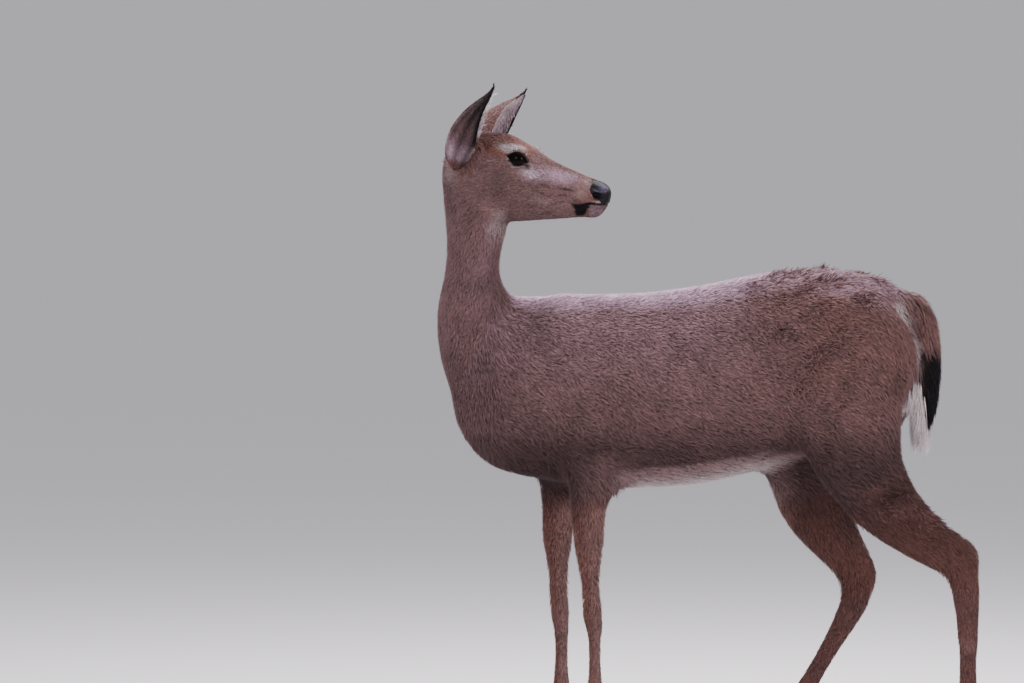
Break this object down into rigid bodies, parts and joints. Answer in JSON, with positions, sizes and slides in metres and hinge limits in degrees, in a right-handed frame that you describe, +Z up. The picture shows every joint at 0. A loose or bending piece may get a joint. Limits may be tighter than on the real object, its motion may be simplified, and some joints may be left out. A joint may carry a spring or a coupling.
{
  "type": "white-tailed deer",
  "caption": "Life-size still model of a white-tailed doe standing with her head turned back over her shoulder, ears erect, on slender legs with cloven hooves.",
  "frame": {"origin": "centre of the footprint of the model's bounding box, on the floor", "axes": "+Z up; the body walks towards -X, its left side is at -Y; the nose of the turned head points to +X"},
  "size_m": [1.066, 0.3716, 1.2621],
  "materials": {
    "coat": "short dense winter hair, greyish brown",
    "tail_hair": "long hair, brown and black outside, white inside",
    "eye": "wet, glossy, nearly black",
    "horn": "dark smooth hoof horn"
  },
  "bodies": {
    "root": {"ear_left": "coat", "ear_right": "coat", "eye_left": "eye", "eye_right": "eye", "foreleg_left_claw_inner": "horn", "foreleg_left_claw_outer": "horn", "foreleg_left_dewclaw_inner": "horn", "foreleg_left_dewclaw_outer": "horn", "foreleg_left_lower": "coat", "foreleg_left_upper": "coat", "foreleg_right_claw_inner": "horn", "foreleg_right_claw_outer": "horn", "foreleg_right_dewclaw_inner": "horn", "foreleg_right_dewclaw_outer": "horn", "foreleg_right_lower": "coat", "foreleg_right_upper": "coat", "head": "coat", "hindleg_left_claw_inner": "horn", "hindleg_left_claw_outer": "horn", "hindleg_left_dewclaw_inner": "horn", "hindleg_left_dewclaw_outer": "horn", "hindleg_left_lower": "coat", "hindleg_left_upper": "coat", "hindleg_right_claw_inner": "horn", "hindleg_right_claw_outer": "horn", "hindleg_right_dewclaw_inner": "horn", "hindleg_right_dewclaw_outer": "horn", "hindleg_right_lower": "coat", "hindleg_right_upper": "coat", "neck": "coat", "tail": "tail_hair", "trunk": "coat"}
  },
  "joints": []
}
